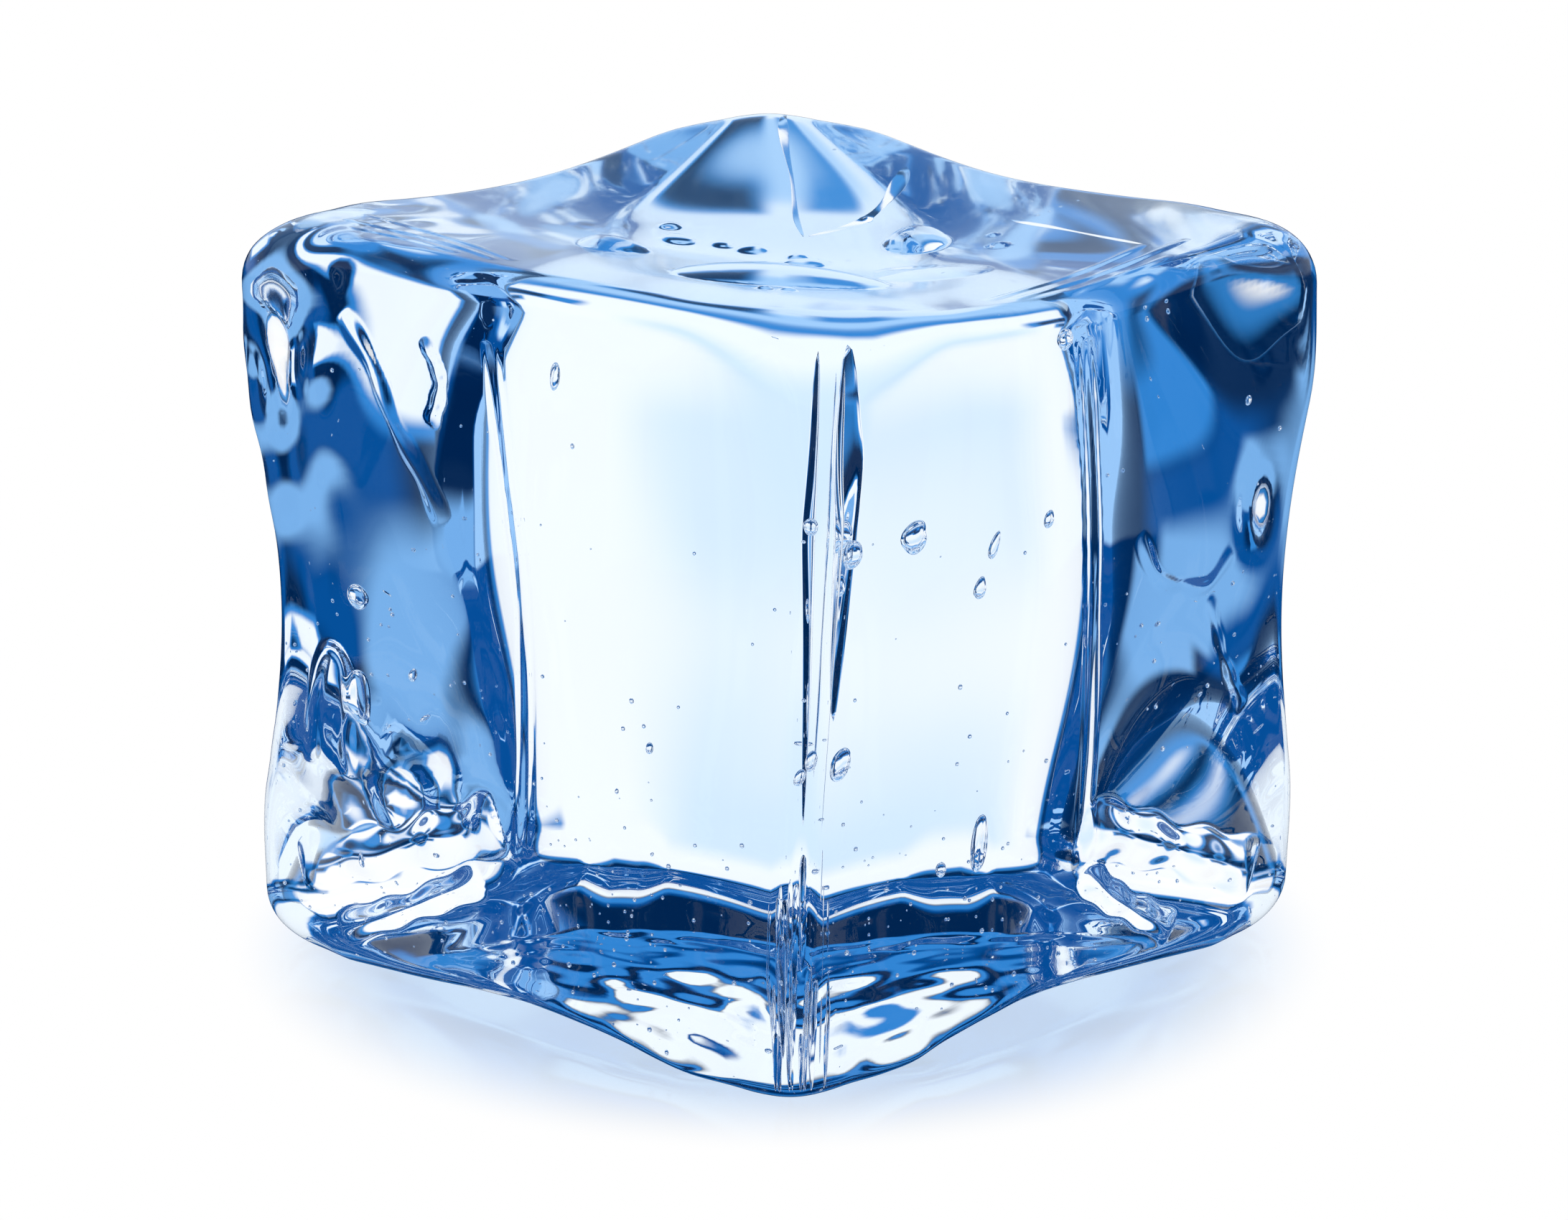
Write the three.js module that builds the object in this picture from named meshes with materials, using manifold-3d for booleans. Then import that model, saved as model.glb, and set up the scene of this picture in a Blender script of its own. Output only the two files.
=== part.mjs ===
// A clear ice cube, frozen as one piece and part melted. Millimetres, +Z up, resting on z = 0 at the origin.
//
// The block starts as a box. Its upright edges are rounded in plan and its rims are rounded in profile.
// Melting then moves 26 places of its surface, the corners, the middles of the edges and the middles
// of the faces, and everything between them follows on a smooth curve. Last, the underside is cut
// flat where it stands.
import * as THREE from "three";
import { mergeVertices } from "three/addons/utils/BufferGeometryUtils.js";
import Module from "manifold-3d";

// Driving dimensions.
const WIDTH = 34; // from side to opposite side, before melting
const HEIGHT = 33.6; // from underside to top, before melting
const EDGE_RADIUS = 1.35; // along the middle of an edge
const CORNER_RADIUS = 3.1; // at the corners, which melt fastest
// Shares of the way from an edge's middle to its end: where the radius starts to grow, and where
// it has grown to the corner's.
const CORNER_START = 0.5;
const CORNER_FULL = 0.9;
const FAR_EDGE_RADIUS = 12; // the upright edge at -X +Y, melted back to a broad curve
const FAR_RIM_RADIUS = 2.2; // the two bottom rims that meet at its foot
const FAR_EDGE_FULL = 0.3; // height, as a share of the half height, below which that curve is full
const FAR_EDGE_FADE = 0.7; // and the share over which it tightens again towards the top corner
// Shares of the way from a rim's middle towards that foot: where the rim starts to widen, and over
// which it does.
const FAR_RIM_START = 0.2;
const FAR_RIM_FADE = 0.6;
const FEET_CUT = 0.4; // taken off the underside, which leaves it flat where it stands
const GRID = 22; // facets along each edge
const GRID_CROWDING = 1.8; // over 1 gathers the facets towards the edges

// Upright edges: where each one stands, how its top, waist and foot have moved in x and y,
// and how much its top corner has risen.
const UPRIGHTS = [
  { at: [1, -1], top: [0.4, 0.6], waist: [-0.7, 0.4], foot: [-1.0, 0.2], rise: 0.8 },
  { at: [-1, -1], top: [-1.1, -1.2], waist: [0.5, 0.2], foot: [-1.0, -1.1], rise: 1.0 },
  { at: [1, 1], top: [0.6, 0.8], waist: [-0.8, -0.4], foot: [0.3, 0.4], rise: 0.7 },
  { at: [-1, 1], top: [-0.5, 0.3], waist: [-1.0, 1.0], foot: [1.5, -1.5], rise: 2.0 },
];

// Sides: where each one stands, how far the middle of its face has swollen outwards, how far the
// middles of its rims have drawn in, how much the top one has risen and the bottom one arches.
const SIDES = [
  { at: [0, -1], swell: -0.5, topIn: -0.4, footIn: 0.2, rise: 0.9, arch: 1.2 },
  { at: [1, 0], swell: -0.5, topIn: 0.1, footIn: 0.9, rise: -0.3, arch: 1.4 },
  { at: [0, 1], swell: 0.8, topIn: 0.6, footIn: 2.2, rise: 0.3, arch: 0 },
  { at: [-1, 0], swell: 0.8, topIn: -0.6, footIn: 2.2, rise: 0.2, arch: 0 },
];
const TOP_DISH = 1.2;
const UNDERSIDE_HOLLOW = 1.0;

const ON_AXIS = 1e-9; // a reach below this counts as none
const SLAB_THICKNESS = 4; // of the slab that cuts the underside flat

const HALF = WIDTH / 2;
const HALF_HEIGHT = HEIGHT / 2;

const clamp = (value, low, high) => Math.min(Math.max(value, low), high);
const pullIn = (value, limit) => clamp(value, -limit, limit);

function smoothStep(value) {
  const t = clamp(value, 0, 1);
  return t * t * (3 - 2 * t);
}

// Moves a point of a square outline onto the arc that rounds its corners.
function onArc(x, y, halfX, halfY, radius) {
  const centreX = pullIn(x, halfX - radius);
  const centreY = pullIn(y, halfY - radius);
  const reach = Math.hypot(x - centreX, y - centreY);
  if (reach < ON_AXIS) return [x, y];
  const scale = radius / reach;
  return [centreX + (x - centreX) * scale, centreY + (y - centreY) * scale];
}

// An edge's radius, 0 at its middle to 1 at its end.
function edgeRadius(along) {
  const share = smoothStep((along - CORNER_START) / (CORNER_FULL - CORNER_START));
  return EDGE_RADIUS + (CORNER_RADIUS - EDGE_RADIUS) * share;
}

// Takes a point of the cube from -1 to 1 to the rounded block.
function rounded(u, v, w) {
  const ring = Math.max(Math.abs(u), Math.abs(v), ON_AXIS);

  let planRadius = edgeRadius(Math.abs(w));
  if (u < 0 && v > 0) {
    const full = 1 - smoothStep((w - FAR_EDGE_FULL) / FAR_EDGE_FADE);
    planRadius = Math.max(planRadius, EDGE_RADIUS + (FAR_EDGE_RADIUS - EDGE_RADIUS) * full);
  }
  const x = (u / ring) * HALF;
  const y = (v / ring) * HALF;
  const [arcX, arcY] = onArc(x, y, HALF, HALF, planRadius);

  let rimRadius = edgeRadius(Math.min(Math.abs(u), Math.abs(v)) / ring);
  if (w < 0) {
    const onFarSides = smoothStep((Math.max(v, -u) / ring - FAR_RIM_START) / FAR_RIM_FADE);
    rimRadius = Math.max(rimRadius, EDGE_RADIUS + (FAR_RIM_RADIUS - EDGE_RADIUS) * onFarSides);
  }
  const [reach, z] = onArc(ring * HALF, w * HALF_HEIGHT, HALF, HALF_HEIGHT, rimRadius);

  const scale = reach / HALF;
  return [arcX * scale, arcY * scale, z];
}

// How much a point takes from the low, the middle and the high place along one axis.
function shares(t) {
  const s = Math.sin((Math.PI / 2) * clamp(t, -1, 1));
  return [(s * s - s) / 2, 1 - s * s, (s * s + s) / 2];
}

// The 26 places that melting moves, each with its move.
function meltedPlaces() {
  const places = [
    { at: [0, 0, 1], move: [0, 0, -TOP_DISH] },
    { at: [0, 0, -1], move: [0, 0, UNDERSIDE_HOLLOW] },
  ];
  for (const { at, top, waist, foot, rise } of UPRIGHTS) {
    places.push({ at: [...at, 1], move: [...top, rise] });
    places.push({ at: [...at, 0], move: [...waist, 0] });
    places.push({ at: [...at, -1], move: [...foot, 0] });
  }
  for (const { at, swell, topIn, footIn, rise, arch } of SIDES) {
    places.push({ at: [...at, 1], move: [-at[0] * topIn, -at[1] * topIn, rise] });
    places.push({ at: [...at, 0], move: [at[0] * swell, at[1] * swell, 0] });
    places.push({ at: [...at, -1], move: [-at[0] * footIn, -at[1] * footIn, arch] });
  }
  return places;
}

const places = meltedPlaces();

// Moves a point of the rounded block to where melting has left it.
function melted([x, y, z]) {
  const along = [shares(x / HALF), shares(y / HALF), shares(z / HALF_HEIGHT)];
  const out = [x, y, z];
  for (const { at, move } of places) {
    const share = along[0][at[0] + 1] * along[1][at[1] + 1] * along[2][at[2] + 1];
    for (let axis = 0; axis < 3; axis++) out[axis] += share * move[axis];
  }
  return out;
}

// Gathers the grid lines towards the edges, where the surface curves most.
function crowded(t) {
  return Math.sign(t) * (1 - Math.pow(1 - Math.abs(t), GRID_CROWDING));
}

function iceSkin() {
  const box = new THREE.BoxGeometry(2, 2, 2, GRID, GRID, GRID);
  box.deleteAttribute("normal");
  box.deleteAttribute("uv");
  const skin = mergeVertices(box);
  const position = skin.getAttribute("position");
  for (let i = 0; i < position.count; i++) {
    const [u, v, w] = [position.getX(i), position.getY(i), position.getZ(i)].map(crowded);
    position.setXYZ(i, ...melted(rounded(u, v, w)));
  }
  // The middle of the box stands over the origin, and the underside is low enough to lose FEET_CUT.
  skin.computeBoundingBox();
  const { min, max } = skin.boundingBox;
  skin.translate(-(min.x + max.x) / 2, -(min.y + max.y) / 2, -min.z - FEET_CUT);
  return skin;
}

const wasm = await Module();
wasm.setup();

function toSolid(geometry) {
  return new wasm.Manifold(
    new wasm.Mesh({
      numProp: 3,
      vertProperties: geometry.getAttribute("position").array,
      triVerts: new Uint32Array(geometry.index.array),
    }),
  );
}

function toGeometry(solid) {
  const mesh = solid.getMesh();
  return new THREE.BufferGeometry()
    .setAttribute("position", new THREE.BufferAttribute(mesh.vertProperties, mesh.numProp))
    .setIndex(new THREE.BufferAttribute(mesh.triVerts, 1));
}

// A slab whose top is the plane that the cube rests on.
function restingSlab() {
  const box = new THREE.BoxGeometry(2 * WIDTH, 2 * WIDTH, SLAB_THICKNESS);
  box.translate(0, 0, -SLAB_THICKNESS / 2);
  box.deleteAttribute("normal");
  box.deleteAttribute("uv");
  return mergeVertices(box);
}

const ice = toGeometry(toSolid(iceSkin()).subtract(toSolid(restingSlab())));
ice.computeVertexNormals();

const clearIce = new THREE.MeshStandardMaterial({
  color: "#dcecfb",
  roughness: 0.05,
  metalness: 0,
  transparent: true,
  opacity: 0.35,
});

const iceCube = new THREE.Mesh(ice, clearIce);
iceCube.name = "ice_cube";

const group = new THREE.Group();
group.add(iceCube);

export default group;
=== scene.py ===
# %% [markdown]
# # A clear ice cube, part melted
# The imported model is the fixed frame: it holds the block's real size and place. This script
# gives the block its fine surface, the air sealed in it and the look of clear ice. Blender
# works in metres here, and the shapes below are worked out in millimetres.

# %% Load the frame
import math

import bmesh
import bpy
import numpy as np
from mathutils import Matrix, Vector


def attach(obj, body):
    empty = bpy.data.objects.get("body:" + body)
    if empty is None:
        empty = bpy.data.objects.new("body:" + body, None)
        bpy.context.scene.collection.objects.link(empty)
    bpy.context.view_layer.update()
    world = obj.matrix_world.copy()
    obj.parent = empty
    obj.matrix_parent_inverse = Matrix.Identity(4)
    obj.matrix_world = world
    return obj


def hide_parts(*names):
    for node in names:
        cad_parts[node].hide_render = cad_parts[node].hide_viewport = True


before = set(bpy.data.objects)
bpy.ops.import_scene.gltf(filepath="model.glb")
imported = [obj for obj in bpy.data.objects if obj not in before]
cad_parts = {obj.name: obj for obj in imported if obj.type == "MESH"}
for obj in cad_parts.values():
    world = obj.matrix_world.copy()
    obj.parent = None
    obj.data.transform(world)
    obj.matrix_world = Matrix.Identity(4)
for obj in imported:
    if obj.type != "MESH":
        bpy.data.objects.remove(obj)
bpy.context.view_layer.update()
MM = 0.001

# %% [markdown]
# ## Camera
# A long lens from a little above, looking almost along the block's diagonal, so that two
# sides and the top show. It aims just under the middle of the block. A constraint could aim
# it, but one direction gives both its place and its turn.

# %% Camera
VIEW_AZIMUTH = math.radians(42.94)
VIEW_ELEVATION = math.radians(16.72)
VIEW_DISTANCE = 0.1985
AIM_POINT = Vector((0.0004, -0.0003, 0.0157))

towards_camera = Vector((
    math.sin(VIEW_AZIMUTH) * math.cos(VIEW_ELEVATION),
    -math.cos(VIEW_AZIMUTH) * math.cos(VIEW_ELEVATION),
    math.sin(VIEW_ELEVATION),
))
camera = bpy.data.objects.new("camera", bpy.data.cameras.new("camera"))
bpy.context.scene.collection.objects.link(camera)
camera.data.lens = 100
camera.data.sensor_width = 36
camera.data.clip_start = 0.01
camera.location = AIM_POINT + VIEW_DISTANCE * towards_camera
camera.rotation_mode = "QUATERNION"
camera.rotation_quaternion = (-towards_camera).to_track_quat("-Z", "Y")
bpy.context.scene.camera = camera
print("camera, mm:", [round(value / MM, 1) for value in camera.location])

# %% [markdown]
# ## Node helpers
# Every material here is a graph of nodes. These few helpers add a node, join its inputs to
# numbers or to other nodes, and keep the cells below short.

# %% Node helpers
def add_node(tree, kind, settings=None, **inputs):
    """A new node: settings are its properties, inputs its sockets by name or position."""
    node = tree.nodes.new(kind)
    for name, value in (settings or {}).items():
        setattr(node, name, value)
    for name, value in inputs.items():
        feed(tree, node, name.replace("_", " "), value)
    return node


def feed(tree, node, name, value):
    """Sets one input to a number or a colour, or links it to an output socket."""
    socket = node.inputs[name]
    if isinstance(value, bpy.types.NodeSocket):
        tree.links.new(value, socket)
    else:
        socket.default_value = value


def calculate(tree, operation, *values):
    """A Math node on up to three numbers or sockets."""
    node = tree.nodes.new("ShaderNodeMath")
    node.operation = operation
    for place, value in enumerate(values):
        feed(tree, node, place, value)
    return node.outputs[0]


def soft_step(tree, value, start, end):
    """Rises smoothly from 0 at start to 1 at end, or falls if end is the smaller."""
    node = add_node(tree, "ShaderNodeMapRange", {"interpolation_type": "SMOOTHSTEP"})
    low, high, at_low, at_high = (start, end, 0.0, 1.0) if start < end else (end, start, 1.0, 0.0)
    for name, given in zip(("Value", "From Min", "From Max", "To Min", "To Max"),
                           (value, low, high, at_low, at_high)):
        feed(tree, node, name, given)
    return node.outputs[0]


def blend_colours(tree, share, first, second):
    """first where share is 0, second where it is 1."""
    node = tree.nodes.new("ShaderNodeMix")
    node.data_type = "RGBA"
    feed(tree, node, 0, share)
    feed(tree, node, 6, first)
    feed(tree, node, 7, second)
    return node.outputs[2]

# %% [markdown]
# ## Colours of the studio
# White, navy and the blues between them are all the colours there are. They are given as a
# paint chart gives them, and one function turns that into the light values that nodes use.

# %% Studio colours
def colour(red, green, blue):
    """A colour as a paint chart gives it, 0 to 255, turned into light values and an alpha."""
    light = []
    for part in (red, green, blue):
        share = part / 255
        light.append(share / 12.92 if share <= 0.04045 else ((share + 0.055) / 1.055) ** 2.4)
    return (*light, 1.0)


WHITE = colour(255, 255, 255)
PALE = colour(222, 238, 254)
SKY = colour(170, 208, 246)
SOFT_BLUE = colour(127, 179, 230)
MID_BLUE = colour(52, 134, 208)
DEEP_BLUE = colour(6, 80, 150)
NAVY = colour(1, 34, 74)
print("navy, as light:", [round(value, 3) for value in NAVY])

# %% [markdown]
# ## Studio light
# Clear ice has no colour of its own to light: all that is seen in it is the studio, bent and
# mirrored. Lamps would show as small hot spots. It is lit as glass is, with a bright field: a
# white panel behind the block, and blue and dark cloth everywhere else, which draws the edges.
# The cloth is a round tent of navy, and sheets hang on it, painted by direction. A white
# sheet's soft hem would turn grey where it meets navy, so a blue sheet a little larger hangs
# under it. The tent turns with the camera as a turntable does, so every side is lit alike.
#
# The outside of the ice mirrors a plainer room: pale above the horizon, bluer higher up, and
# navy below it. The dark parts keep their depth that way.

# %% Studio tent
TENT_RADIUS = 2.0
TENT_GLOW = 1.1
# Heights, in degrees, between which the mirrored room turns from navy to pale, and pale to blue.
HORIZON_FADE, CEILING_FADE = (-3, 3), (8, 32)
TENT_SHEETS = [
    # colour, from and to round the tent, from and to upwards, softness of the hem, in degrees.
    # Round the tent, 0 is straight behind the block and 90 is to its right.
    # all round, low down and high up, and round the back of the camera
    (DEEP_BLUE, (-180, -128), (-30, 50), 6),
    (DEEP_BLUE, (128, 180), (-30, 50), 6),
    (SKY, (-180, 180), (-90, -36), 4),
    (MID_BLUE, (-180, -95), (-38, -24), 3),
    (MID_BLUE, (95, 180), (-38, -24), 3),
    (DEEP_BLUE, (-180, 180), (38, 90), 4),
    (SOFT_BLUE, (125, 168), (-60, -25), 4),
    (SKY, (-168, -125), (-60, -30), 6),
    (MID_BLUE, (-142, -126), (-40, 60), 2),
    (PALE, (-139, -129), (-40, 60), 2),
    (MID_BLUE, (126, 142), (-12, 60), 2),
    (PALE, (129, 139), (-12, 60), 2),
    (SKY, (166, 180), (-30, 10), 1),
    (NAVY, (148, 164), (-25, 8), 2),
    (SKY, (-180, -156), (-30, 10), 1),
    # the sides
    (MID_BLUE, (-99, -55), (-90, -32), 2),
    (PALE, (-95, -58), (-90, -36), 2),
    (MID_BLUE, (55, 101), (-90, -32), 2),
    (PALE, (58, 97), (-90, -36), 2),
    (DEEP_BLUE, (70, 88), (-16, -4), 4),
    (DEEP_BLUE, (-97, -62), (-16, -4), 4),
    (SOFT_BLUE, (62, 165), (-4.5, 13), 2.5),
    (SOFT_BLUE, (-92, -62), (-7, 2), 2),
    (SOFT_BLUE, (-101, -62), (-1, 14), 2),
    (MID_BLUE, (57, 128), (17, 47), 2),
    (WHITE, (60, 125), (21, 44), 2),
    (MID_BLUE, (-128, -57), (17, 47), 2),
    (WHITE, (-125, -60), (21, 44), 2),
    (MID_BLUE, (82, 100), (-24, -13), 1),
    (WHITE, (84, 98), (-22, -15), 1),
    (MID_BLUE, (-97, -84), (-24, -15), 1.5),
    # behind the block, low down
    (SOFT_BLUE, (-58, 58), (-90, -60), 2),
    (PALE, (-58, 58), (-60, -41), 2),
    (SKY, (-58, 58), (-41, -31), 3),
    (MID_BLUE, (1, 22), (-47, -37.5), 1.5),
    (NAVY, (2, 19), (-45, -38.5), 1.5),
    (MID_BLUE, (-10, -3), (-44, -38), 1.5),
    # behind the block, level with it
    (MID_BLUE, (-39.5, 38.5), (-33, 3), 2),
    (WHITE, (-36.5, 35.5), (-30, 0), 1),
    (PALE, (-24, 11), (-21, -12), 4),
    (MID_BLUE, (18, 37), (-25.5, -20), 1),
    (NAVY, (22, 36), (-24.5, -21), 1),
    (MID_BLUE, (-38, -24), (-24, -18.5), 1),
    (NAVY, (-37, -26), (-23, -19.5), 1),
    (MID_BLUE, (26, 39), (-19, -15.5), 1),
    (NAVY, (28, 38), (-18, -16.5), 1),
    (MID_BLUE, (-39, -30), (-18, -14.5), 1),
    (NAVY, (-38, -32), (-17, -15.5), 1),
    # behind the block, high up
    (DEEP_BLUE, (-46, 46), (9, 30), 3),
    (MID_BLUE, (-36, 46), (13, 21), 2),
    (NAVY, (-46, 46), (22, 27), 1),
    (MID_BLUE, (-36, 36), (28.5, 32), 1),
    (WHITE, (-30, 30), (33, 44), 1.5),
    (MID_BLUE, (-30, -2), (41, 48), 1.5),
    (WHITE, (-30, 30), (49, 70), 2),
]


def hung(tree, directions, under, sheet):
    """Hangs a sheet of cloth over what is there. A span that goes all the way has no hem."""
    cloth, *spans, hem = sheet
    share = 1.0
    for angle, (low, high), limit in zip(directions, spans, (180, 90)):
        if low > -limit:
            share = calculate(tree, "MULTIPLY", share, soft_step(tree, angle, low - hem, low + hem))
        if high < limit:
            share = calculate(tree, "MULTIPLY", share, soft_step(tree, angle, high + hem, high - hem))
    return blend_colours(tree, share, under, cloth)


def tent_material():
    material = bpy.data.materials.new("studio_tent")
    material.use_nodes = True
    tree = material.node_tree
    tree.nodes.clear()
    place = add_node(tree, "ShaderNodeTexCoord").outputs["Object"]
    unit = add_node(tree, "ShaderNodeVectorMath", {"operation": "NORMALIZE"}, Vector=place)
    x, y, z = add_node(tree, "ShaderNodeSeparateXYZ", Vector=unit.outputs[0]).outputs
    azimuth = calculate(tree, "DEGREES", calculate(tree, "ARCTAN2", x, y))
    elevation = calculate(tree, "DEGREES", calculate(tree, "ARCSINE", z))
    cloth = NAVY
    for sheet in TENT_SHEETS:
        cloth = hung(tree, (azimuth, elevation), cloth, sheet)
    path = add_node(tree, "ShaderNodeLightPath").outputs
    outside = calculate(tree, "LESS_THAN", path["Transmission Depth"], 0.5)  # not yet in the ice
    mirrored = calculate(tree, "MULTIPLY", path["Is Glossy Ray"], outside)
    ceiling = blend_colours(tree, soft_step(tree, elevation, *CEILING_FADE), PALE, SOFT_BLUE)
    around = blend_colours(tree, soft_step(tree, elevation, *HORIZON_FADE), NAVY, ceiling)
    cloth = blend_colours(tree, mirrored, cloth, around)
    glow = add_node(tree, "ShaderNodeEmission", Color=cloth, Strength=TENT_GLOW)
    out = add_node(tree, "ShaderNodeOutputMaterial")
    tree.links.new(glow.outputs[0], out.inputs["Surface"])
    return material


def studio_tent():
    """The tent round the block. The camera carries it and doesn't see it."""
    bpy.ops.mesh.primitive_ico_sphere_add(subdivisions=4, radius=TENT_RADIUS)
    tent = bpy.context.object
    tent.name = "studio_tent"
    tent.data.materials.append(tent_material())
    tent.rotation_euler.z = VIEW_AZIMUTH
    tent.visible_camera = False
    bpy.context.view_layer.update()
    world_place = tent.matrix_world.copy()
    tent.parent = camera
    tent.matrix_world = world_place


def white_background():
    world = bpy.data.worlds.new("white_background")
    bpy.context.scene.world = world
    world.use_nodes = True
    world.node_tree.nodes["Background"].inputs["Color"].default_value = WHITE


studio_tent()
white_background()
bpy.context.scene.view_settings.view_transform = "Standard"
BOUNCES = 32  # light is mirrored many times inside the block before it finds its way out
for kind in ("max_bounces", "transmission_bounces", "glossy_bounces"):
    setattr(bpy.context.scene.cycles, kind, BOUNCES)
print("tent: navy, with", len(TENT_SHEETS), "sheets")

# %% [markdown]
# ## Floor
# A white light table. It glows white, and round the foot of the block the glow is painted pale
# blue, a painted reflection of the ice, where a sky-blue polish mirrors the ice too. A lit floor
# would need lamps, and they would show in the ice. The ice does not see the table: light that
# leaves the ice goes on to the tent.

# %% Floor
FLOOR_SIZE = 3.0
# Radii, in metres, between which the painted reflection of the ice fades in round the foot.
PAINTED_REFLECTION_OUTER, PAINTED_REFLECTION_INNER = 0.0258, 0.0172
POLISH_SHARE, POLISH_ROUGHNESS = 0.28, 0.2


def floor_material():
    material = bpy.data.materials.new("light_table")
    material.use_nodes = True
    tree = material.node_tree
    tree.nodes.clear()
    place = add_node(tree, "ShaderNodeTexCoord").outputs["Object"]
    away = add_node(tree, "ShaderNodeVectorMath", {"operation": "LENGTH"}, Vector=place)
    # The glow is painted pale blue round the foot, a painted reflection of the ice; the real polish is
    # mixed in over the same ring.
    painted_and_real_reflection_share = soft_step(tree, away.outputs["Value"], PAINTED_REFLECTION_OUTER, PAINTED_REFLECTION_INNER)
    light = blend_colours(tree, painted_and_real_reflection_share, WHITE, PALE)
    glow = add_node(tree, "ShaderNodeEmission", Color=light, Strength=1.0)
    polish = add_node(tree, "ShaderNodeBsdfGlossy", Color=SKY, Roughness=POLISH_ROUGHNESS)
    seen = add_node(tree, "ShaderNodeMixShader")
    feed(tree, seen, 0, calculate(tree, "MULTIPLY", painted_and_real_reflection_share, POLISH_SHARE))
    feed(tree, seen, 1, glow.outputs[0])
    feed(tree, seen, 2, polish.outputs[0])
    out = add_node(tree, "ShaderNodeOutputMaterial")
    tree.links.new(seen.outputs[0], out.inputs["Surface"])
    return material


def make_mesh(name, points, faces, material):
    """A new object at the origin with its shape in its mesh."""
    mesh = bpy.data.meshes.new(name)
    mesh.from_pydata([tuple(point) for point in points], [], [tuple(face) for face in faces])
    mesh.update()
    made = bpy.data.objects.new(name, mesh)
    bpy.context.scene.collection.objects.link(made)
    mesh.materials.append(material)
    return made


half = FLOOR_SIZE / 2
floor = make_mesh(
    "light_table",
    [(-half, -half, 0), (half, -half, 0), (half, half, 0), (-half, half, 0)],
    [(0, 1, 2, 3)],
    floor_material(),
)
floor.visible_glossy = False
floor.visible_transmission = False
print("floor, m:", FLOOR_SIZE, "square")

# %% [markdown]
# ## The block
# The block froze in a tray and then melted in the air. It could be a box with bevels, but a
# melting block keeps no flat face: its corners go first, its waist draws in and its top
# dishes. So it is a rule instead. A fine grid on a cube is bent round the edges, and then 26
# places, the corners, the middles of the edges and the middles of the faces, are moved and
# the rest follows smoothly. It is the frame's own rule, on a finer grid.
#
# These are its sizes. Melting starts from a block of this width and height.

# %% Sizes of the block, in millimetres
WIDTH, HEIGHT = 34, 33.6
EDGE_RADIUS, CORNER_RADIUS = 1.35, 3.1
# Shares of the way along an edge between which its radius grows to the corner's.
CORNER_START, CORNER_FULL = 0.5, 0.9
# The upright edge furthest from the viewer, and the two bottom rims that meet at its foot.
FAR_EDGE_RADIUS, FAR_RIM_RADIUS = 12, 2.2
FAR_EDGE_FULL, FAR_EDGE_FADE = 0.3, 0.7
FAR_RIM_START, FAR_RIM_FADE = 0.2, 0.6
FEET_CUT = 0.4  # taken off the underside, so that it stands flat
TOP_DISH, UNDERSIDE_HOLLOW = 1.2, 1.0
HALF, HALF_HEIGHT = WIDTH / 2, HEIGHT / 2

# Each upright edge: where it stands, the moves of its top, waist and foot, the rise of its top.
UPRIGHTS = [
    ((1, -1), (0.4, 0.6), (-0.7, 0.4), (-1.0, 0.2), 0.8),
    ((-1, -1), (-1.1, -1.2), (0.5, 0.2), (-1.0, -1.1), 1.0),
    ((1, 1), (0.6, 0.8), (-0.8, -0.4), (0.3, 0.4), 0.7),
    ((-1, 1), (-0.5, 0.3), (-1.0, 1.0), (1.5, -1.5), 2.0),
]
# Each side: where it stands, its swelling, how far its rims draw in, the rise of the top one
# and the arch of the bottom one.
SIDES = [
    ((0, -1), -0.5, -0.4, 0.2, 0.9, 1.2),
    ((1, 0), -0.5, 0.1, 0.9, -0.3, 1.4),
    ((0, 1), 0.8, 0.6, 2.2, 0.3, 0),
    ((-1, 0), 0.8, -0.6, 2.2, 0.2, 0),
]
print("block before melting, mm:", WIDTH, WIDTH, HEIGHT)

# %% [markdown]
# Rounding comes first: the outline as seen from above, then the profile as seen from the side.
# Melting comes second. Each moved place has a share in every point, which is 1 at the place
# itself and falls to 0 at its neighbours on a sine, so no crease shows between them.

# %% The rule of the block
ON_AXIS = 1e-9  # a reach below this counts as none


def smooth_step(value):
    """Rises from 0 to 1 while value does, and is level at both ends."""
    t = np.clip(value, 0, 1)
    return t * t * (3 - 2 * t)


def on_arc(x, y, half_x, half_y, radius):
    """Moves points of a square outline onto the arc that rounds its corners."""
    centre_x = np.clip(x, radius - half_x, half_x - radius)
    centre_y = np.clip(y, radius - half_y, half_y - radius)
    reach = np.maximum(np.hypot(x - centre_x, y - centre_y), ON_AXIS)
    return centre_x + (x - centre_x) * radius / reach, centre_y + (y - centre_y) * radius / reach


def edge_radius(along):
    """The radius of an edge at a place along it: 0 is its middle and 1 its end."""
    share = smooth_step((along - CORNER_START) / (CORNER_FULL - CORNER_START))
    return EDGE_RADIUS + (CORNER_RADIUS - EDGE_RADIUS) * share


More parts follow.
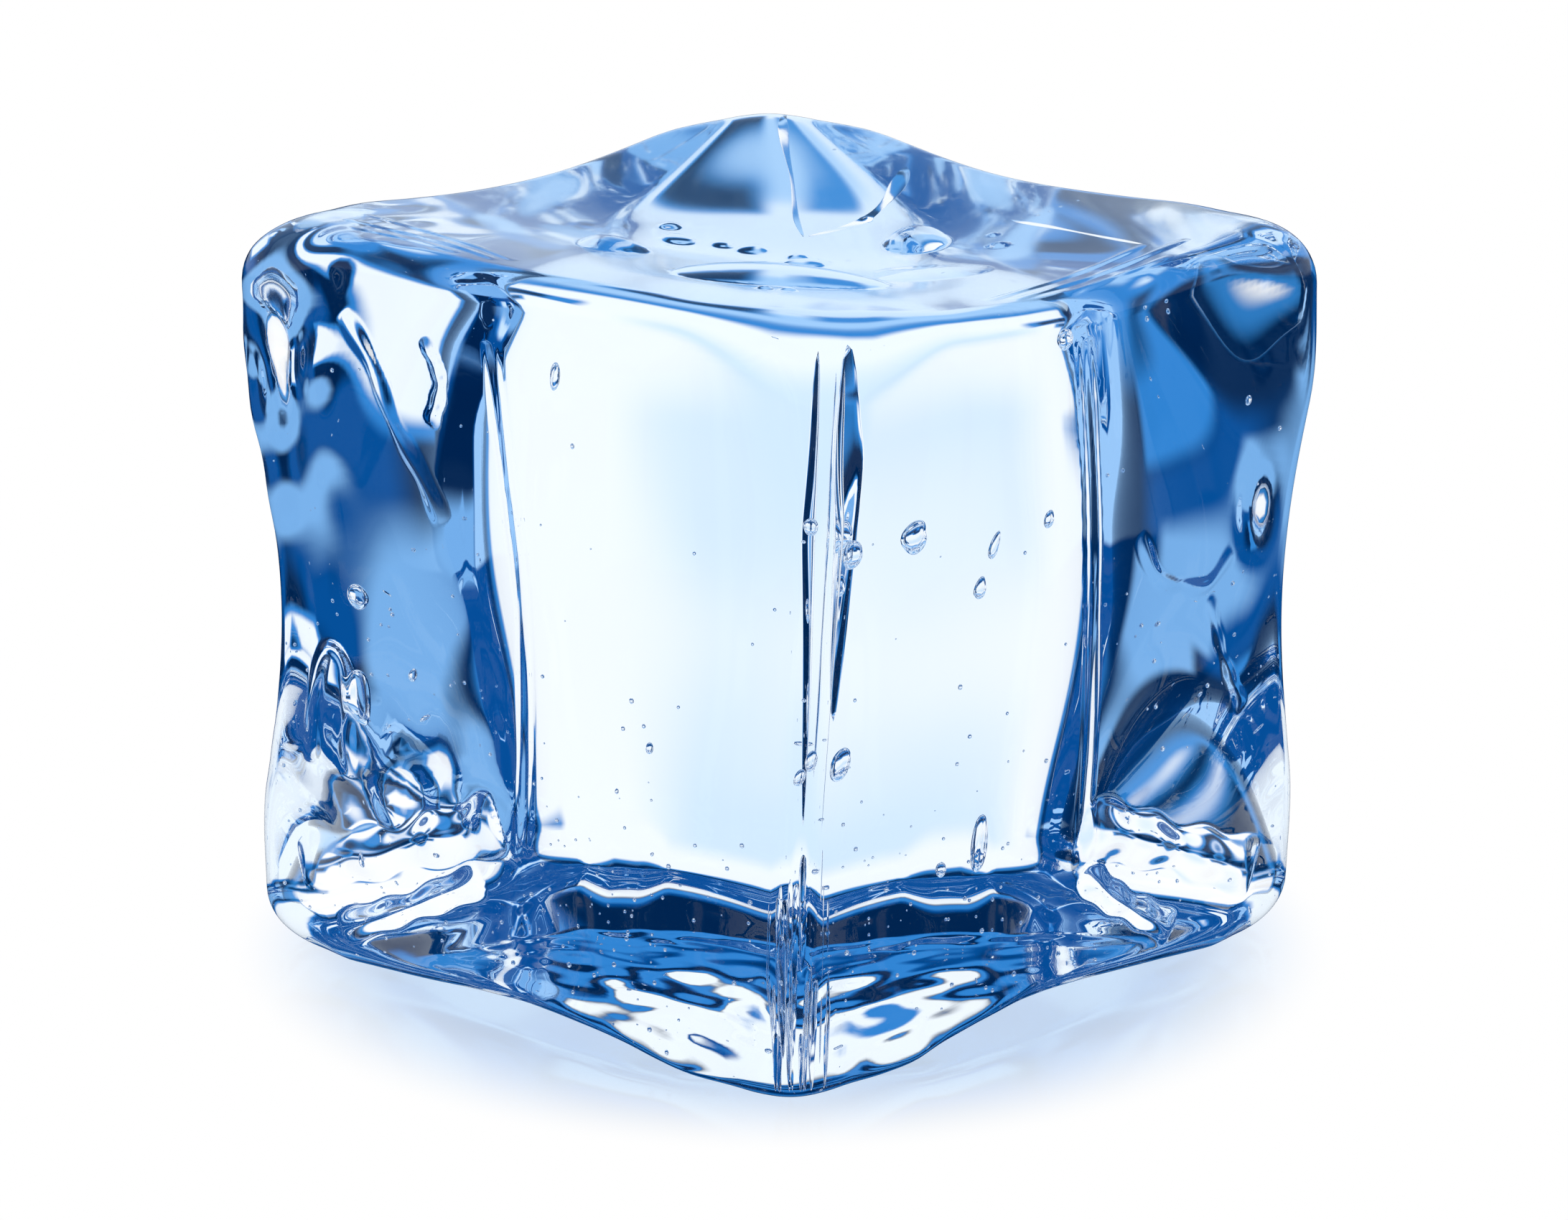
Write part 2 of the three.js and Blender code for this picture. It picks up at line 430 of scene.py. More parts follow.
def rounded(cube):
    """Takes points of the cube from -1 to 1 to the rounded block."""
    u, v, w = cube.T
    ring = np.maximum(np.maximum(np.abs(u), np.abs(v)), ON_AXIS)
    full = 1 - smooth_step((w - FAR_EDGE_FULL) / FAR_EDGE_FADE)
    far = EDGE_RADIUS + (FAR_EDGE_RADIUS - EDGE_RADIUS) * full
    plan = edge_radius(np.abs(w))
    plan = np.where((u < 0) & (v > 0), np.maximum(plan, far), plan)
    x, y = on_arc(u / ring * HALF, v / ring * HALF, HALF, HALF, plan)

    rim = edge_radius(np.minimum(np.abs(u), np.abs(v)) / ring)
    on_far_sides = smooth_step((np.maximum(v, -u) / ring - FAR_RIM_START) / FAR_RIM_FADE)
    far_rim = EDGE_RADIUS + (FAR_RIM_RADIUS - EDGE_RADIUS) * on_far_sides
    rim = np.where(w < 0, np.maximum(rim, far_rim), rim)
    reach, z = on_arc(ring * HALF, w * HALF_HEIGHT, HALF, HALF_HEIGHT, rim)
    return np.stack([x * reach / HALF, y * reach / HALF, z], axis=1)


def shares(t):
    """How much a point takes from the low, the middle and the high place along one axis."""
    s = np.sin(np.pi / 2 * np.clip(t, -1, 1))
    return [(s * s - s) / 2, 1 - s * s, (s * s + s) / 2]


def melted_places():
    """The 26 places that melting moves, each with its move."""
    places = [((0, 0, 1), (0, 0, -TOP_DISH)), ((0, 0, -1), (0, 0, UNDERSIDE_HOLLOW))]
    for at, top, waist, foot, rise in UPRIGHTS:
        places += [((*at, 1), (*top, rise)), ((*at, 0), (*waist, 0)), ((*at, -1), (*foot, 0))]
    for (x, y), swell, top_in, foot_in, rise, arch in SIDES:
        places += [
            ((x, y, 1), (-x * top_in, -y * top_in, rise)),
            ((x, y, 0), (x * swell, y * swell, 0)),
            ((x, y, -1), (-x * foot_in, -y * foot_in, arch)),
        ]
    return places


def melted(block):
    """Points of the rounded block where melting has left them."""
    along = [shares(block[:, axis] / half) for axis, half in enumerate((HALF, HALF, HALF_HEIGHT))]
    moved = block.copy()
    for at, move in melted_places():
        share = along[0][at[0] + 1] * along[1][at[1] + 1] * along[2][at[2] + 1]
        moved += share[:, None] * np.array(move, float)
    return moved

# %% [markdown]
# The grid is six square sheets that meet at the cube's edges. Its lines crowd towards the
# edges, where the surface curves most.

# %% Grid on a cube
GRID = 84  # squares along each edge of the cube
GRID_CROWDING = 1.35  # over 1 gathers the lines towards the edges
KEYS_PER_UNIT = 1e6  # points of two sheets that agree this closely are one point


def cube_grid(steps):
    """Points of a cube from -1 to 1 and the four corners of each face, pointing outwards."""
    t = np.linspace(-1, 1, steps + 1)
    t = np.sign(t) * (1 - (1 - np.abs(t)) ** GRID_CROWDING)
    a, b = (sheet.ravel() for sheet in np.meshgrid(t, t, indexing="ij"))
    one = np.ones_like(a)
    sheets = [(one, a, b), (-one, b, a), (b, one, a), (a, -one, b), (a, b, one), (b, a, -one)]
    points = np.concatenate([np.stack(sheet, axis=1) for sheet in sheets])

    row, column = (part.ravel() for part in np.indices((steps, steps)))
    first = row * (steps + 1) + column
    square = np.stack([first, first + steps + 1, first + steps + 2, first + 1], axis=1)
    faces = np.concatenate([square + n * (steps + 1) ** 2 for n in range(6)])

    keys = np.round(points * KEYS_PER_UNIT).astype(np.int64)
    _, kept, where = np.unique(keys, axis=0, return_index=True, return_inverse=True)
    return points[kept], where.ravel()[faces]

# %% [markdown]
# ## Drops and folds
# Melt water froze again on the top as drops, from beads to a puddle. A drop is a low dome with
# a crisp foot. Its outline is an ellipse, and a lobe or two make it as uneven as water on ice.
#
# The sides froze in folds: bars at the foot, loops above them, and rims beside the clear
# panels. A fold is a soft ridge along a smooth line. Both are drawn in tables, because a random
# pattern would look like noise and not like water that ran and froze.

# %% Drops and folds
DROPS = [
    # place, half sizes along and across, height, turn in degrees, lobes (count, depth, turn)
    ((5.3, -6.0), (4.3, 4.4), 0.75, 43, [(3, 0.12, 100), (2, 0.07, 20)]),
    ((7.9, 0.9), (2.6, 2.2), 0.20, 46, [(3, 0.10, 0)]),
    ((3.3, 5.3), (1.55, 1.8), 0.80, 43, []),
    ((-4.2, -6.5), (1.65, 1.8), 0.50, 43, [(3, 0.10, 0)]),
    ((-4.7, -1.8), (0.85, 0.9), 0.26, 43, []),
    ((-3.1, -0.6), (0.55, 0.6), 0.18, 43, []),
    ((-1.7, -0.1), (0.80, 0.8), 0.24, 43, [(2, 0.10, 60)]),
    ((0.6, 0.4), (0.55, 0.6), 0.20, 43, []),
    ((1.9, -0.4), (1.1, 0.8), 0.26, 50, [(3, 0.12, 40)]),
    ((-6.6, -0.4), (0.50, 0.6), 0.20, 0, []),
    ((8.6, -10.3), (0.36, 0.4), 0.14, 43, []),
    ((9.3, -9.6), (0.40, 0.4), 0.14, 43, []),
    ((7.2, 6.4), (0.50, 0.5), 0.16, 43, []),
    ((5.8, 7.7), (0.22, 0.3), 0.10, 43, []),
    ((-1.0, 6.8), (0.25, 0.3), 0.10, 43, []),
]
# The faces that have folds: the axis each one looks along, and which way.
FACES = {"front_left": (1, -1), "front_right": (0, 1), "top": (2, 1)}
FOLDS = [
    # face, places along it, half width, height
    # the left face: two bars at its foot, a loop over them and two strokes under the top
    ("front_left", [(-13.4, 4.6), (-6.8, 7.0), (-1.4, 9.2)], 1.7, 0.80),
    ("front_left", [(-10.8, 2.2), (-6.9, 4.0), (-2.4, 6.4)], 1.0, 0.50),
    ("front_left",
     [(-13.1, 9.5), (-13.0, 13.0), (-12.2, 14.9), (-11.2, 14.6), (-10.8, 13), (-10.7, 9.3)], 0.7, 0.24),
    ("front_left", [(-9.2, 31.0), (-7.6, 29.0), (-6.6, 26.5), (-5.2, 24.4), (-4.2, 22.4)], 0.8, 0.30),
    ("front_left", [(-4.4, 30.6), (-3.6, 28.8), (-4.4, 26.8)], 0.5, 0.20),
    # the rims of the clear panels
    ("front_left", [(-0.8, 31.0), (-0.3, 26.0), (0.1, 19.4), (0.0, 13.0), (-0.4, 8.0)], 0.40, 0.12),
    ("front_left", [(-0.1, 31.0), (0.4, 26.0), (0.8, 19.4), (0.7, 13.0), (0.3, 8.0)], 0.22, 0.05),
    ("front_right", [(0.3, 31.0), (1.2, 24.5), (1.7, 18.7), (1.9, 13.0), (1.7, 7.0)], 0.40, 0.12),
    ("front_right", [(-0.4, 31.0), (0.5, 24.5), (1.0, 18.7), (1.2, 13.0), (1.0, 7.0)], 0.22, 0.05),
    # the right face: a scallop, a streak and two bars at its foot
    ("front_right", [(4.5, 21.4), (6.0, 19.2), (8.0, 18.4), (9.8, 18.0), (11.6, 19.2)], 0.6, 0.26),
    ("front_right", [(10.0, 17.4), (11.2, 14.4), (12.6, 11.6)], 0.60, 0.20),
    ("front_right", [(1.4, 8.8), (6.0, 6.9), (13.0, 3.8)], 1.7, 0.80),
    ("front_right", [(1.6, 6.6), (3.6, 4.8), (7.4, 2.4)], 1.0, 0.50),
    # fine wrinkles along the near rims of the top
    ("top", [(-13.5, -12.6), (-10.0, -13.0), (-6.0, -13.8), (-1.5, -15.0)], 0.35, 0.10),
    ("top", [(-13.0, -14.2), (-9.0, -14.5), (-5.0, -15.0), (-2.0, -15.6)], 0.35, 0.12),
    ("top", [(-11.5, -15.4), (-8.0, -15.6), (-4.0, -15.9)], 0.30, 0.10),
    ("top", [(13.8, 8.5), (14.2, 4.0), (14.8, -1.0), (15.4, -4.0)], 0.35, 0.10),
    ("top", [(15.0, 10.0), (15.2, 5.5), (15.5, 1.0), (15.9, -3.0)], 0.35, 0.12),
    ("top", [(16.1, 7.5), (16.2, 3.5), (16.4, 0.0)], 0.30, 0.10),
]
DROP_PROFILE, FOLD_PROFILE = 0.8, 2  # under 1 is a crisp foot, over 1 a soft one
FOLD_UNEVENNESS, FOLD_WAVES = 0.2, (15, 7)
ON_TOP = 0.7  # a normal that rises at least this much is on the top
FACE_FADE = 1.5  # how fast a pattern appears as the skin turns towards its face


def around_drop(points, place, half_sizes, turn, lobes):
    """How far out each point lies from a drop's middle: 1 on its outline."""
    x, y = points[:, 0] - place[0], points[:, 1] - place[1]
    cosine, sine = math.cos(math.radians(turn)), math.sin(math.radians(turn))
    along = (x * cosine + y * sine) / half_sizes[0]
    across = (y * cosine - x * sine) / half_sizes[1]
    around = np.degrees(np.arctan2(across, along))
    outline = sum((depth * np.cos(np.radians(count * (around - at))) for count, depth, at in lobes), 1)
    return np.hypot(along, across) / outline


def smooth_line(places, steps=6):
    """A smooth line through some places."""
    places = np.array(places, float)
    padded = np.concatenate([[2 * places[0] - places[1]], places, [2 * places[-1] - places[-2]]])
    line = []
    for a, b, c, d in zip(padded[:-3], padded[1:-2], padded[2:-1], padded[3:]):
        for t in np.arange(steps) / steps:
            bend = (2 * a - 5 * b + 4 * c - d) * t ** 2 + (3 * b - a - 3 * c + d) * t ** 3
            line.append(b + (c - a) / 2 * t + bend / 2)
    return np.array(line + [places[-1]])


def from_line(points, places):
    """How far each point lies from a smooth line through some places, and its share along it."""
    line = smooth_line(places)
    lengths = np.linalg.norm(np.diff(line, axis=0), axis=1)
    best, share = np.full(len(points), np.inf), np.zeros(len(points))
    for number, (start, end) in enumerate(zip(line[:-1], line[1:])):
        step = end - start
        t = np.clip(((points - start) @ step) / (step @ step), 0, 1)
        away = np.linalg.norm(points - start - t[:, None] * step, axis=1)
        nearer = away < best
        best = np.where(nearer, away, best)
        reach = (lengths[:number].sum() + t * lengths[number]) / lengths.sum()
        share = np.where(nearer, reach, share)
    return best, share


def on_face(places, face):
    """The two coordinates that run along a face."""
    return np.delete(places, FACES[face][0], axis=1)


def frozen_drops(points, normals):
    """The height of the drops at each point."""
    height = np.zeros(len(points))
    for place, half_sizes, rise, turn, lobes in DROPS:
        out = around_drop(points, place, half_sizes, turn, lobes)
        height += rise * np.clip(1 - out ** 2, 0, 1) ** DROP_PROFILE
    return np.where(normals[:, 2] > ON_TOP, height, 0)


def folded(points, normals):
    """The height of the folds at each point. They run out to nothing at both ends."""
    height = np.zeros(len(points))
    for face, line, half_width, rise in FOLDS:
        axis, sign = FACES[face]
        away, share = from_line(on_face(points, face), line)
        waves = np.sin(share * FOLD_WAVES[0]) * np.sin(share * FOLD_WAVES[1] + 1)
        uneven = 1 - FOLD_UNEVENNESS + FOLD_UNEVENNESS * waves
        width = half_width * uneven
        ends = np.clip(np.sin(np.pi * share), 0, 1) ** 0.5
        ridge = rise * ends * uneven * np.clip(1 - (away / width) ** 2, 0, 1) ** FOLD_PROFILE
        height += ridge * smooth_step(sign * normals[:, axis] * FACE_FADE)
    return height


print("drops:", len(DROPS), "folds:", len(FOLDS))

# %% [markdown]
# Crisp outlines need a finer grid than the rest of the block, so only the squares under them
# are cut finer. The grid still lies on the plain cube then, so every new point takes part in
# the rounding and the melting.

# %% Finer grid under the outlines
FINE_CUTS = 3
OUTLINE_AT, OUTLINE_BAND = 0.9, 0.5
FOLD_MARGIN = 0.3
ON_CUBE_FACE = 0.999  # a square's middle at least this far out lies on the cube's face


def placed(cube):
    """Points of the cube on the melted block, with its feet cut flat at height 0."""
    return melted(rounded(cube)) - shift


def finer_grid(points, faces):
    """Cuts the squares under outlines and folds, and keeps the grid closed."""
    middles = points[faces].mean(axis=1)
    places = placed(middles)
    chosen = np.zeros(len(faces), bool)
    for place, half_sizes, rise, turn, lobes in DROPS:
        out = around_drop(places, place, half_sizes, turn, lobes)
        near_outline = np.abs(out - OUTLINE_AT) * min(half_sizes) < OUTLINE_BAND
        chosen |= near_outline & (middles[:, 2] > ON_CUBE_FACE)
    for face, line, half_width, rise in FOLDS:
        axis, sign = FACES[face]
        near_fold = from_line(on_face(places, face), line)[0] < half_width + FOLD_MARGIN
        chosen |= near_fold & (sign * middles[:, axis] > ON_CUBE_FACE)

    work = bmesh.new()
    corners = [work.verts.new(point) for point in points]
    made = [work.faces.new([corners[index] for index in face]) for face in faces]
    edges = {edge for face, wanted in zip(made, chosen) if wanted for edge in face.edges}
    bmesh.ops.subdivide_edges(work, edges=list(edges), cuts=FINE_CUTS, use_grid_fill=True)
    bmesh.ops.triangulate(work, faces=[face for face in work.faces if len(face.verts) > 4])
    work.verts.index_update()
    points = np.array([vertex.co for vertex in work.verts])
    faces = [[vertex.index for vertex in face.verts] for face in work.faces]
    work.free()
    return points, faces


cube_points, cube_faces = cube_grid(GRID)
block = melted(rounded(cube_points))
middle = (block.min(axis=0) + block.max(axis=0)) / 2
shift = np.array([middle[0], middle[1], block[:, 2].min() + FEET_CUT])
cube_points, block_faces = finer_grid(cube_points, cube_faces)
block = placed(cube_points)
triangles = sum(len(face) - 2 for face in block_faces)
print("block, mm:", block.min(axis=0).round(3), block.max(axis=0).round(3), triangles, "triangles")

# %% [markdown]
# ## Melt relief
# Melting leaves a skin of slow swells, rough patches, a dent and folds, and drops of melt water
# that froze again on the top. All of it is a height, in millimetres, by which each point moves
# along its normal. Bump in a material would bend the light too, but only real relief shows in
# the outline and in the light that is mirrored inside. A swell is a sum of waves in random
# directions, which has no grain and never repeats.

# %% Relief helpers
WAVES = 16


def swell(points, size, seed):
    """A smooth random height of about -1 to 1, its crests about size apart."""
    random = np.random.default_rng(seed)
    turns = random.normal(size=(WAVES, 3))
    turns *= 2 * np.pi / size / np.linalg.norm(turns, axis=1)[:, None]
    phase = random.uniform(0, 2 * np.pi, WAVES)
    return np.sin(points @ turns.T + phase).sum(axis=1) / math.sqrt(WAVES / 2)


def near(points, centre, radius):
    """1 at a place, a third at the radius, which may differ by axis, and 0 well past it."""
    away = (points - np.array(centre)) / np.array(radius)
    return np.exp(-(away ** 2).sum(axis=1))


def normals_of(points, faces):
    """The direction in which the skin faces at each point."""
    mesh = bpy.data.meshes.new("normals")
    mesh.from_pydata(points.tolist(), [], faces)
    found = np.zeros(len(points) * 3)
    mesh.vertex_normals.foreach_get("vector", found)
    bpy.data.meshes.remove(mesh)
    return found.reshape(-1, 3)

# %% [markdown]
# The swells are very low, a fiftieth of a millimetre, because each one acts as a lens and high
# ones break the clear panels up. Three patches are rougher: the crumple high on the far left
# side, the spots low on the near left one and the veins of the underside. There is one dent, in
# the far right side. The clear ice shows the far sides through the near ones.
#
# Frost lies on the level parts of the top, and not on the drops. It is stored point by point
# for the material.

# %% Swells, patches and a dent
# Height in millimetres, how far apart the crests are, seed.
SWELL, FAR_SWELL = (0.02, 10, 1), (0.02, 8, 2)
CRUMPLE, SPOTS = (0.16, 3.6, 3), (0.12, 2.6, 4)
VEINS, FINE_VEINS = (0.05, 5, 5), (0.02, 2.2, 6)
# Where each patch is, and how far it reaches.
CRUMPLE_AT = (-17.5, -13, 27), (4, 5, 6)
SPOTS_AT = (-8, -17.5, 9.5), (5, 4, 3)
VEINS_AT = (5, -5, 0), (12, 12, 4)
DENT_DEPTH, DENT_AT = 0.45, ((11.4, 17, 19.7), 1.6)
FROST_START, FROST_FADE = 0.93, 0.05
DROP_RIM = 0.03  # a drop this high is clear of frost


def rough(points, swelling):
    rise, size, seed = swelling
    return rise * swell(points, size, seed)


def relief_height(points, normals):
    left, near_left, back = (
        smooth_step(facing * FACE_FADE) for facing in (-normals[:, 0], -normals[:, 1], normals[:, 1])
    )
    underside = smooth_step(-normals[:, 2] * FACE_FADE)
    height = rough(points, SWELL) + (left + back) * rough(points, FAR_SWELL)
    height += near(points, *CRUMPLE_AT) * left * rough(points, CRUMPLE)
    height += near(points, *SPOTS_AT) * near_left * rough(points, SPOTS)
    height -= DENT_DEPTH * near(points, *DENT_AT)
    veins = rough(points, VEINS) + rough(points, FINE_VEINS)
    return height + underside * near(points, *VEINS_AT) * veins


skin_normals = normals_of(block, block_faces)
drops = frozen_drops(block, skin_normals)
folds = folded(block, skin_normals)
block += skin_normals * (relief_height(block, skin_normals) + drops + folds)[:, None]
level = smooth_step((skin_normals[:, 2] - FROST_START) / FROST_FADE)
frost = level * (1 - smooth_step(drops / DROP_RIM))
block[:, 2] = np.maximum(block[:, 2], 0)
print("with its relief, mm:", block.min(axis=0).round(3), block.max(axis=0).round(3))

# %% [markdown]
# ## Clear ice
# Ice is clear, with an index of 1.31, a little less than water's. It could be a mix of shaders,
# but plain transmission does what ice does: it bends light, mirrors it at a shallow angle and
# shows what is behind. Red light is soaked up first, so the long ways through the block turn
# blue, and that is a volume with a colour. The only thing that changes over the skin is its
# roughness, where a breath of frost lies on the top.

# %% Ice material
ICE_IOR = 1.31
ICE_TINT, ICE_TINT_DENSITY = (0.04, 0.555, 0.963, 1.0), 4.0
FROST_ROUGHNESS = 0.10
GRAIN_SCALE, GRAIN_SHARE, GRAIN_LEAST = 900.0, 0.5, 0.75


def frosted_group():
    """Roughness from the painted frost: clear at 0, hoar at 1, broken up by a fine grain."""
    tree = bpy.data.node_groups.new("frosted", "ShaderNodeTree")
    tree.interface.new_socket("Hoar", in_out="INPUT", socket_type="NodeSocketFloat")
    tree.interface.new_socket("Roughness", in_out="OUTPUT", socket_type="NodeSocketFloat")
    given = tree.nodes.new("NodeGroupInput").outputs["Hoar"]
    frost = add_node(tree, "ShaderNodeAttribute", {"attribute_name": "frost"}).outputs["Fac"]
    place = add_node(tree, "ShaderNodeTexCoord").outputs["Object"]
    grain = add_node(tree, "ShaderNodeTexNoise", Vector=place, Scale=GRAIN_SCALE, Detail=2.0).outputs[0]
    uneven = calculate(tree, "MULTIPLY_ADD", grain, GRAIN_SHARE, GRAIN_LEAST)
    hoar = calculate(tree, "MULTIPLY", calculate(tree, "MULTIPLY", frost, given), uneven)
    tree.links.new(hoar, tree.nodes.new("NodeGroupOutput").inputs["Roughness"])
    return tree


def ice_material():
    material = bpy.data.materials.new("clear_ice")
    material.use_nodes = True
    tree = material.node_tree
    tree.nodes.clear()
    ice = add_node(tree, "ShaderNodeBsdfPrincipled")
    feed(tree, ice, "Base Color", WHITE)
    frosted = add_node(tree, "ShaderNodeGroup", {"node_tree": frosted_group()}, Hoar=FROST_ROUGHNESS)
    feed(tree, ice, "Roughness", frosted.outputs["Roughness"])
    feed(tree, ice, "IOR", ICE_IOR)
    feed(tree, ice, "Transmission Weight", 1.0)
    tint = add_node(tree, "ShaderNodeVolumeAbsorption", Color=ICE_TINT, Density=ICE_TINT_DENSITY)
    out = add_node(tree, "ShaderNodeOutputMaterial")
    tree.links.new(ice.outputs[0], out.inputs["Surface"])
    tree.links.new(tint.outputs[0], out.inputs["Volume"])
    return material


clear_ice = ice_material()
ice = make_mesh("clear_block", block * MM, block_faces, clear_ice)
ice.data.shade_smooth()
ice.data.attributes.new("frost", "FLOAT", "POINT").data.foreach_set("value", frost)
print("ice: index", ICE_IOR, "and", round(float((frost > 0.5).mean()), 3), "of its points frosted")

# %% [markdown]
# ## Air sealed in the ice
# Water gives up its air as it freezes. The air is a hole in the ice, so each bubble is a closed
# surface that bends light the opposite way: seen from the ice, its index is 1 to the ice's.

# %% Air
def air_material():
    material = bpy.data.materials.new("sealed_air")
    material.use_nodes = True
    tree = material.node_tree
    tree.nodes.clear()
    air = add_node(tree, "ShaderNodeBsdfPrincipled")
    feed(tree, air, "Base Color", WHITE)
    feed(tree, air, "Roughness", 0.0)
    feed(tree, air, "IOR", 1 / ICE_IOR)
    feed(tree, air, "Transmission Weight", 1.0)
    out = add_node(tree, "ShaderNodeOutputMaterial")
    tree.links.new(air.outputs[0], out.inputs["Surface"])
    return material


sealed_air = air_material()
print("air: index", round(1 / ICE_IOR, 3), "to the ice's 1")

# %% [markdown]
# Bubbles sit just under the two near faces. Most are taller than wide and lean, because air
# was pushed along by the ice that grew behind it. They are placed one by one: a viewer knows
# them singly. Each is a ball that is stretched, tapered and made slightly uneven.

# %% Bubbles
# The viewer's right and forward along the floor. The air is turned and placed by them.
VIEWERS_RIGHT = np.array([0.73, 0.68, 0])
VIEWERS_FORWARD = np.array([-0.68, 0.73, 0])
UP = np.array([0, 0, 1])
BALL_STEPS = 4
BUBBLE_UNEVENNESS, BUBBLE_WAVE = 0.03, 1.5
BUBBLES = [
    # place, radius across, radius along, lean to the right in degrees, taper
    ((2.5, -16.3, 29.9), 0.24, 0.62, 8, 0.0),
    ((3.3, -16.1, 27.0), 0.10, 0.12, 0, 0.0),
    ((7.3, -15.7, 14.5), 0.20, 0.26, 15, 0.1),
    ((5.3, -15.7, 12.1), 0.10, 0.13, 20, 0.0),
    ((1.6, -15.7, 9.9), 0.10, 0.10, 0, 0.0),
    ((-10.9, -15.6, 17.5), 0.55, 0.60, -30, 0.1),
    ((-11.1, -15.6, 12.7), 0.78, 1.35, -8, 0.0),
    ((-7.3, -15.8, 14.6), 0.22, 0.32, 20, 0.1),
    ((16.1, -9.8, 24.3), 0.68, 0.76, 35, 0.25),
    ((16.0, -4.6, 22.8), 0.26, 0.66, 22, 0.15),
    ((15.9, -5.4, 21.1), 0.33, 0.50, 15, 0.2),
    ((16.4, -1.3, 23.3), 0.28, 0.40, 15, 0.1),
    ((16.5, -0.6, 31.0), 0.42, 0.46, 0, 0.0),
    ((16.6, 12.2, 26.1), 0.18, 0.24, 10, 0.0),
    ((16.5, -13.9, 24.4), 0.50, 0.60, 10, 0.0),
    ((16.1, -15.5, 25.8), 0.25, 0.36, 0, 0.0),
    ((15.9, -13.9, 15.3), 0.50, 0.78, 22, 0.0),
    ((16.1, -15.6, 15.9), 0.22, 0.46, 12, 0.0),
    ((15.8, -15.9, 15.2), 0.20, 0.40, 20, 0.0),
    ((15.7, -4.8, 9.5), 0.46, 1.30, 6, 0.1),
    ((15.7, -7.3, 8.9), 0.30, 0.34, 0, 0.0),
]


def ball(steps):
    """A ball of radius 1, cut into triangles."""
    work = bmesh.new()
    bmesh.ops.create_icosphere(work, subdivisions=steps, radius=1)
    work.verts.index_update()
    points = np.array([vertex.co for vertex in work.verts])
    faces = np.array([[vertex.index for vertex in face.verts] for face in work.faces])
    work.free()
    return points, faces


def bubble_points(unit, place, across, along, lean, taper):
    """The points of a unit ball, moved to those of a bubble."""
    lean = math.radians(lean)
    axis = math.cos(lean) * UP + math.sin(lean) * VIEWERS_RIGHT
    side = np.cross(axis, -VIEWERS_FORWARD)
    side /= np.linalg.norm(side)
    front = np.cross(axis, side)
    wide = across * (1 - taper * unit[:, 2])[:, None]
    seed = int(1000 * (across + along))
    uneven = 1 + BUBBLE_UNEVENNESS * swell(unit, BUBBLE_WAVE, seed)[:, None]
    shape = wide * (unit[:, :1] * side + unit[:, 1:2] * front) + along * unit[:, 2:] * axis
    return np.array(place) + shape * uneven


def air_object(name, parts):
    """One piece of air from lists of points and faces, in millimetres."""
    points, faces, count = [], [], 0
    for part_points, part_faces in parts:
        points.append(part_points)
        faces += [tuple(index + count for index in face) for face in part_faces]
        count += len(part_points)
    made = make_mesh(name, np.concatenate(points) * MM, faces, sealed_air)
    made.data.shade_smooth()
    print(name + ":", len(parts))
    return made


unit_ball, ball_faces = ball(BALL_STEPS)
bubbles = air_object(
    "air_bubbles", [(bubble_points(unit_ball, *sizes), ball_faces) for sizes in BUBBLES]
)

# %% [markdown]
# Flat slivers of air stand along the near upright edge, where the ice froze last. Two are long
# and wide, two are thin, and a crowd of short ones is gathered towards the foot. Each is a row
# of flat ellipses along the edge, turned enough from it to mirror the dark cloth at its side.
# A dark stripe painted on the ice would stay in place when the block turns. A sliver flashes.

# %% Slivers along the near edge
FILM_STEPS, FILM_SIDES = 40, 20
TIP_FULLNESS = 0.02
SLIVERS = [
    # right of the edge at its top and bottom, behind it, top and bottom height, half width,
    # half thickness, turn at its top and bottom
    ((0.75, 0.75), 2.2, (32.4, 17.2), 1.10, 0.035, (18.5, 14.0)),
    ((-0.30, 0.10), 0.9, (32.6, 13.0), 0.45, 0.030, (-22, -22)),
    ((0.35, 0.35), 1.3, (31.8, 15.0), 0.20, 0.015, (17, 17)),
    ((0.65, 0.65), 1.6, (31.9, 12.5), 0.16, 0.015, (-22, -22)),
]
# The short ones, each value from the smaller to the larger.
LOW_SLIVERS, LOW_SEED = 36, 8
LOW_RIGHT, LOW_BEHIND = (-0.8, 1.1), (1.0, 2.6)
LOW_TOP, LOW_TOP_RANGE, LOW_LENGTH, LOWEST = 3, 10, (2.0, 6.0), 0.9
LOW_HALF_WIDTH, LOW_HALF_THICKNESS = (0.12, 0.45), 0.02
LOW_TURNS, LOW_TURN_SPREAD = [17, -22], (-4, 4)
EDGE_LEVELS = 201


def edge_points(heights):
    """The near upright edge at some heights, from the block's own rule."""
    one = np.ones(EDGE_LEVELS)
    edge = melted(rounded(np.stack([one, -one, np.linspace(-1, 1, EDGE_LEVELS)], axis=1))) - shift
    return np.stack([np.interp(heights, edge[:, 2], edge[:, axis]) for axis in range(3)], axis=1)


